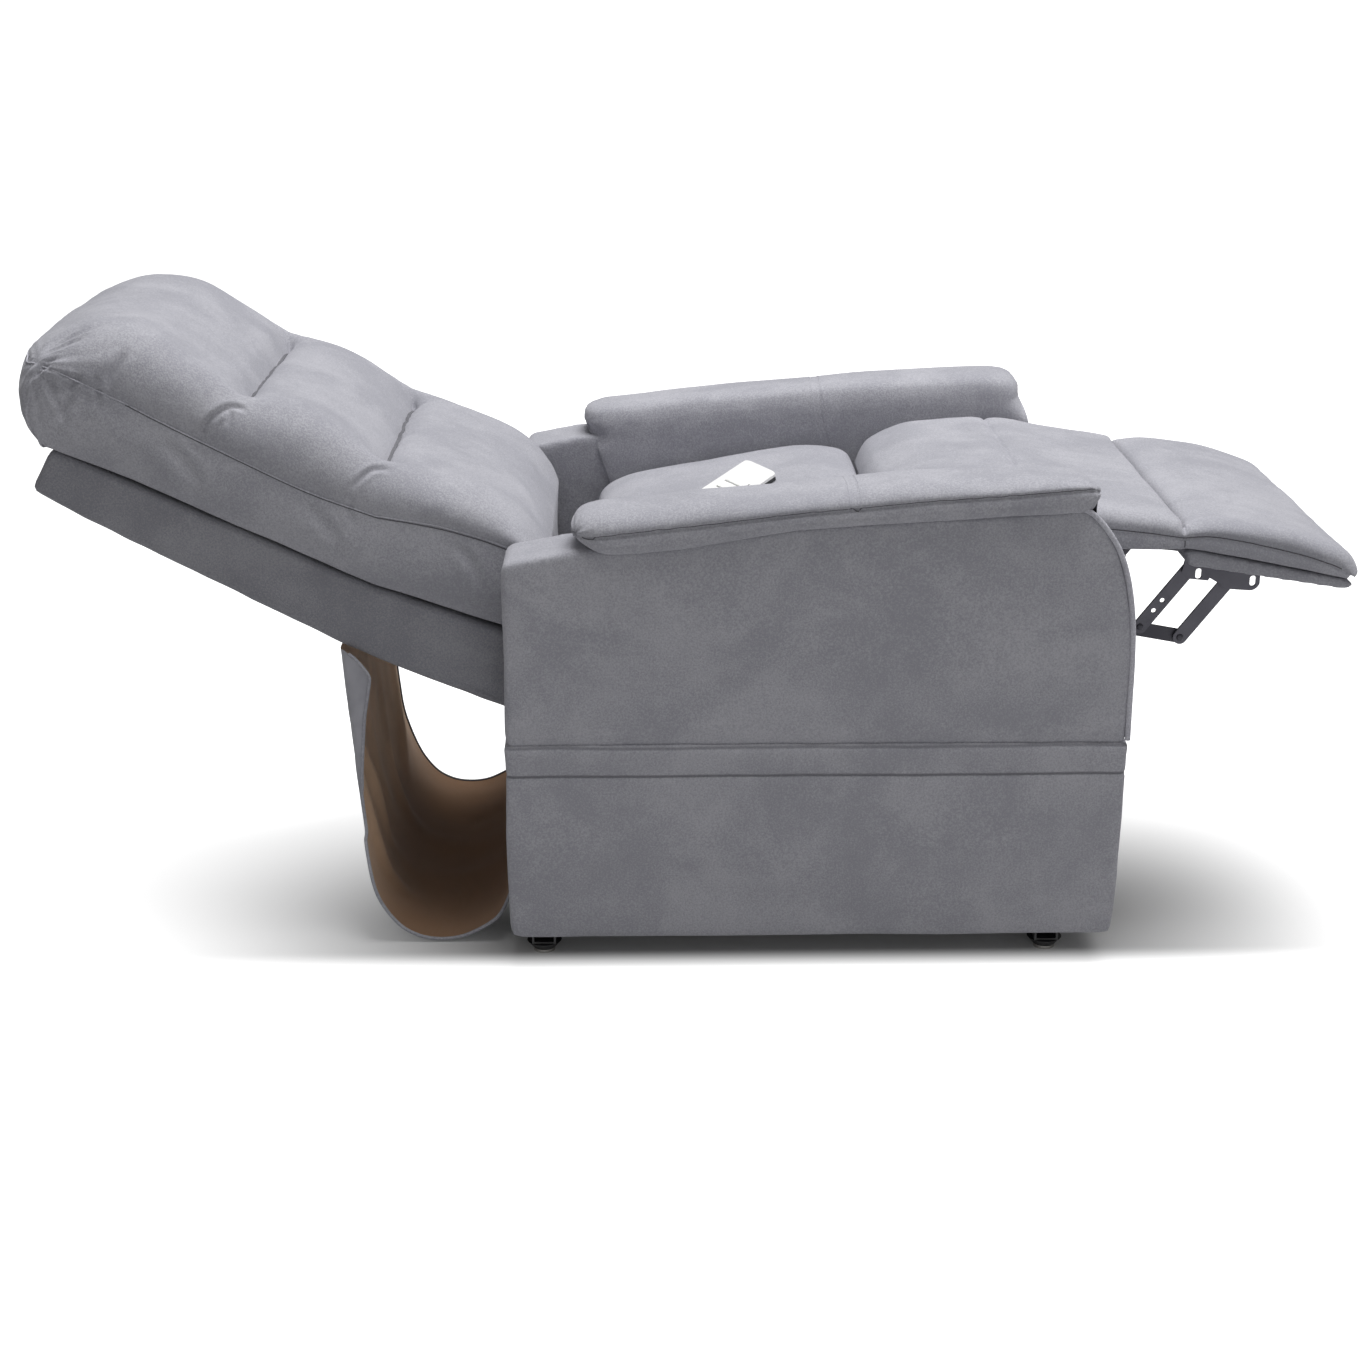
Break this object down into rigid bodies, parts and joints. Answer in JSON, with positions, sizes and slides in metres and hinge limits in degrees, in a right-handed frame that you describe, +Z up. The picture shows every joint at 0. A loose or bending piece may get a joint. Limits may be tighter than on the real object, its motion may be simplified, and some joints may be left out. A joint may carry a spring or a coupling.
{
  "type": "lift recliner chair",
  "caption": "Powered riser recliner armchair, fully reclined with its legrest out, on a scissor lift base, with a wired style handset on the seat.",
  "frame": {"origin": "on the floor, under the middle of the chair's bounding box as pictured (reclined, lift down)", "axes": "+X towards the foot end of the legrest, +Y towards the sitter's left, +Z up"},
  "size_m": [1.675, 0.76, 0.791],
  "materials": {
    "velour": "soft blue-grey microfibre velour",
    "lining": "grey outside, taupe lining inside",
    "graphite_steel": "satin graphite powder coat",
    "black_steel": "satin black powder coat",
    "black_cloth": "woven dust cloth over the board",
    "black_plastic": "matte black",
    "motor_plastic": "matte dark grey",
    "white_plastic": "satin white",
    "rod_steel": "polished",
    "nickel": "bright nickel",
    "spring_steel": "dark zinc"
  },
  "bodies": {
    "base": {"base_rail_left": "black_steel", "base_rail_right": "black_steel", "base_front_crossbar": "black_steel", "base_rear_crossbar": "black_steel", "foot_glides": "black_plastic", "foot_rings": "nickel"},
    "lift_arms": {"lift_arm_left": "graphite_steel", "lift_arm_right": "graphite_steel", "lift_torque_tube": "graphite_steel"},
    "front_lift_links": {"front_lift_links": "graphite_steel"},
    "lift_motor": {"lift_motor": "motor_plastic"},
    "lift_rod": {"lift_rod": "rod_steel"},
    "chassis": {"chassis_rear_crossbar": "graphite_steel", "chassis_front_crossbar": "graphite_steel", "chassis_plate_left": "graphite_steel", "chassis_plate_right": "graphite_steel", "arm_board_left": "velour", "arm_board_right": "velour", "arm_panel_left": "velour", "arm_panel_right": "velour", "arm_band_left": "velour", "arm_band_right": "velour", "arm_pad_left": "velour", "arm_pad_right": "velour", "control_box": "motor_plastic", "rear_skirt": "lining"},
    "back": {"back_shell": "velour", "head_puff": "velour", "middle_puff": "velour", "lumbar_puff": "velour", "back_bracket_left": "graphite_steel", "back_bracket_right": "graphite_steel", "back_crossbar": "graphite_steel"},
    "recline_motor": {"recline_motor": "motor_plastic"},
    "recline_rod": {"recline_rod": "rod_steel"},
    "seat": {"seat_rail_left": "graphite_steel", "seat_rail_right": "graphite_steel", "seat_rear_rail": "graphite_steel", "seat_front_rail": "graphite_steel", "seat_springs": "spring_steel", "seat_cushion": "velour", "front_roll": "velour"},
    "legrest": {"footrest_board": "black_cloth", "footrest_pad": "velour", "bridge_pad": "velour", "footrest_bracket_left": "graphite_steel", "footrest_bracket_right": "graphite_steel", "hinge_straps": "graphite_steel"},
    "drive_links": {"drive_link_left": "graphite_steel", "drive_link_right": "graphite_steel", "drive_tube": "graphite_steel"},
    "footrest_rear_links": {"footrest_rear_links": "graphite_steel"},
    "footrest_front_links": {"footrest_front_links": "graphite_steel"},
    "footrest_motor": {"footrest_motor": "motor_plastic"},
    "footrest_rod": {"footrest_rod": "rod_steel"},
    "handset": {"handset_case": "black_plastic", "handset_face": "white_plastic"},
    "key_lift": {"key_lift": "white_plastic"},
    "key_back": {"key_back": "white_plastic"},
    "key_legs": {"key_legs": "white_plastic"}
  },
  "joints": [
    {"name": "lift", "type": "hinge", "parent": "base", "child": "lift_arms", "pos_m": [0.342, 0, 0.057], "axis": [0, 1, 0], "range_deg": [0, 40]},
    {"name": "chassis_tilt", "type": "hinge", "parent": "lift_arms", "child": "chassis", "pos_m": [-0.18, 0, 0.086], "axis": [0, 1, 0], "range_deg": [-16.32, 0]},
    {"name": "front_link_pivot", "type": "hinge", "parent": "base", "child": "front_lift_links", "pos_m": [0.4, 0, 0.05], "axis": [0, 1, 0], "range_deg": [0, 50.18]},
    {"name": "lift_motor_pivot", "type": "hinge", "parent": "base", "child": "lift_motor", "pos_m": [-0.1, 0, 0.06], "axis": [0, 1, 0], "range_deg": [0, 2.98]},
    {"name": "lift_rod_travel", "type": "slide", "parent": "lift_motor", "child": "lift_rod", "axis": [0.958, 0, 0.2868], "range_m": [0, 0.08764]},
    {"name": "recline", "type": "hinge", "parent": "chassis", "child": "back", "pos_m": [-0.1235, 0, 0.3734], "axis": [0, 1, 0], "range_deg": [0, 45], "deforming": ["rear_skirt"]},
    {"name": "seat_tilt", "type": "hinge", "parent": "chassis", "child": "seat", "pos_m": [-0.1235, 0, 0.3734], "axis": [0, 1, 0], "range_deg": [0, 4.59]},
    {"name": "recline_motor_pivot", "type": "hinge", "parent": "chassis", "child": "recline_motor", "pos_m": [0.278, 0, 0.225], "axis": [0, 1, 0], "range_deg": [-2.84, 0]},
    {"name": "recline_rod_travel", "type": "slide", "parent": "recline_motor", "child": "recline_rod", "axis": [-0.9769, 0, 0.2137], "range_m": [0, 0.05943]},
    {"name": "footrest", "type": "hinge", "parent": "seat", "child": "legrest", "pos_m": [0.423, 0, 0.503], "axis": [0, 1, 0], "range_deg": [0, 80]},
    {"name": "drive_pivot", "type": "hinge", "parent": "seat", "child": "drive_links", "pos_m": [0.365, 0, 0.427], "axis": [0, 1, 0], "range_deg": [0, 81.6]},
    {"name": "rear_link_pivot", "type": "hinge", "parent": "drive_links", "child": "footrest_rear_links", "pos_m": [0.569, 0, 0.3943], "axis": [0, 1, 0], "range_deg": [-81.6, 0]},
    {"name": "front_link_elbow", "type": "hinge", "parent": "drive_links", "child": "footrest_front_links", "pos_m": [0.6213, 0, 0.38], "axis": [0, 1, 0], "range_deg": [-81.6, 0]},
    {"name": "footrest_motor_pivot", "type": "hinge", "parent": "seat", "child": "footrest_motor", "pos_m": [-0.06, 0, 0.33], "axis": [0, 1, 0], "range_deg": [-0.70258, 0]},
    {"name": "footrest_rod_travel", "type": "slide", "parent": "footrest_motor", "child": "footrest_rod", "axis": [0.9893, 0, 0.1458], "range_m": [-0.05275, 0]},
    {"name": "handset_lift", "type": "slide", "parent": "seat", "child": "handset", "axis": [0, 0, 1], "range_m": [0, 0.25]},
    {"name": "key_lift", "type": "hinge", "parent": "handset", "child": "key_lift", "pos_m": [0.03581, -0.06206, 0.53632], "axis": [0.4626, 0.8829, 0.0803], "range_deg": [-4, 4], "stiffness_Nm_per_rad": 0.02},
    {"name": "key_back", "type": "hinge", "parent": "handset", "child": "key_back", "pos_m": [0.04784, -0.03911, 0.53841], "axis": [0.4626, 0.8829, 0.0803], "range_deg": [-4, 4], "stiffness_Nm_per_rad": 0.02},
    {"name": "key_legs", "type": "hinge", "parent": "handset", "child": "key_legs", "pos_m": [0.05986, -0.01615, 0.5405], "axis": [0.4626, 0.8829, 0.0803], "range_deg": [-4, 4], "stiffness_Nm_per_rad": 0.02}
  ],
  "couplings": [
    {"joint": "chassis_tilt", "follows": "lift", "ratio": -0.4},
    {"joint": "front_link_pivot", "follows": "lift", "ratio": 1.23},
    {"joint": "lift_motor_pivot", "follows": "lift", "ratio": 0.07304},
    {"joint": "lift_rod_travel", "follows": "lift", "m_per_rad": 0.12307},
    {"joint": "seat_tilt", "follows": "recline", "ratio": 0.1},
    {"joint": "recline_motor_pivot", "follows": "recline", "ratio": -0.06178},
    {"joint": "recline_rod_travel", "follows": "recline", "m_per_rad": 0.074182},
    {"joint": "drive_pivot", "follows": "footrest", "ratio": 1},
    {"joint": "rear_link_pivot", "follows": "footrest", "ratio": -1},
    {"joint": "front_link_elbow", "follows": "footrest", "ratio": -1},
    {"joint": "footrest_motor_pivot", "follows": "footrest", "ratio": -0.00861},
    {"joint": "footrest_rod_travel", "follows": "footrest", "m_per_rad": -0.03704}
  ]
}
